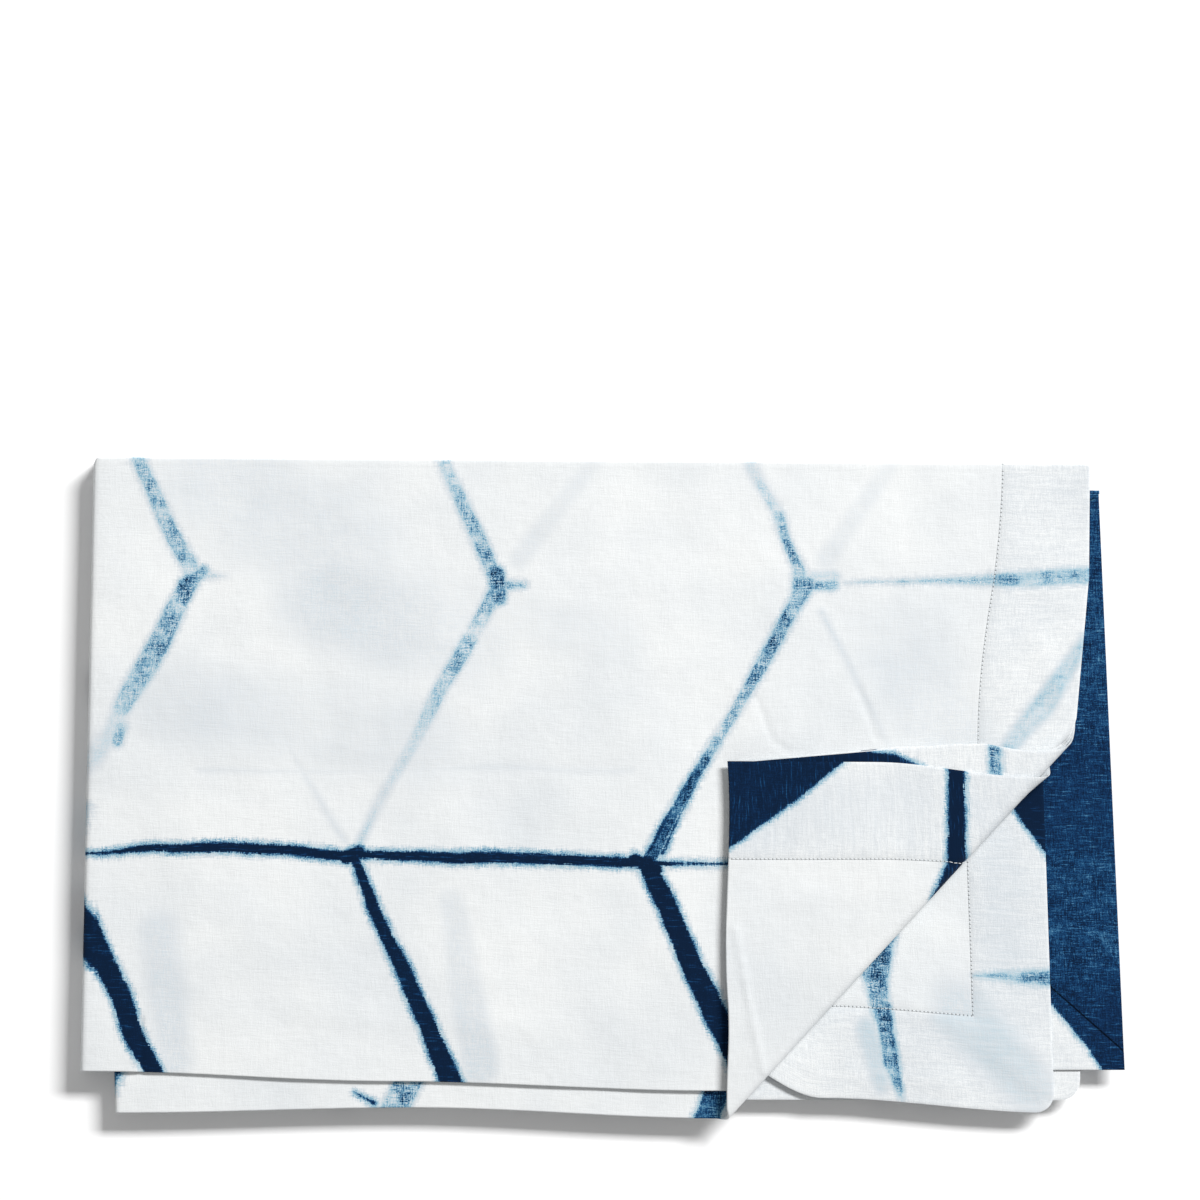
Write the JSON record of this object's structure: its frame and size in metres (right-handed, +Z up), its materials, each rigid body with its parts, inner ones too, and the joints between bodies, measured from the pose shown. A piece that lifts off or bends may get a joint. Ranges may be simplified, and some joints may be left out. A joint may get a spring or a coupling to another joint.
{
  "type": "folded tablecloth",
  "caption": "Rectangular linen tablecloth folded flat into a many-leaved pile, one corner of its upper leaves turned back; indigo lattice shibori dye on white.",
  "frame": {"origin": "centre of the folded cloth's bounding box, on the plane that it rests on", "axes": "X along the folded cloth's long side, from the last fold towards the hems; Y across it, towards the nested folds; Z up through the leaves"},
  "size_m": [0.7163, 0.4536, 0.0343],
  "materials": {
    "tablecloth": "plain woven linen, white with an indigo lattice from clamped and folded dyeing"
  },
  "bodies": {
    "root": {"tablecloth": "tablecloth"}
  },
  "joints": []
}
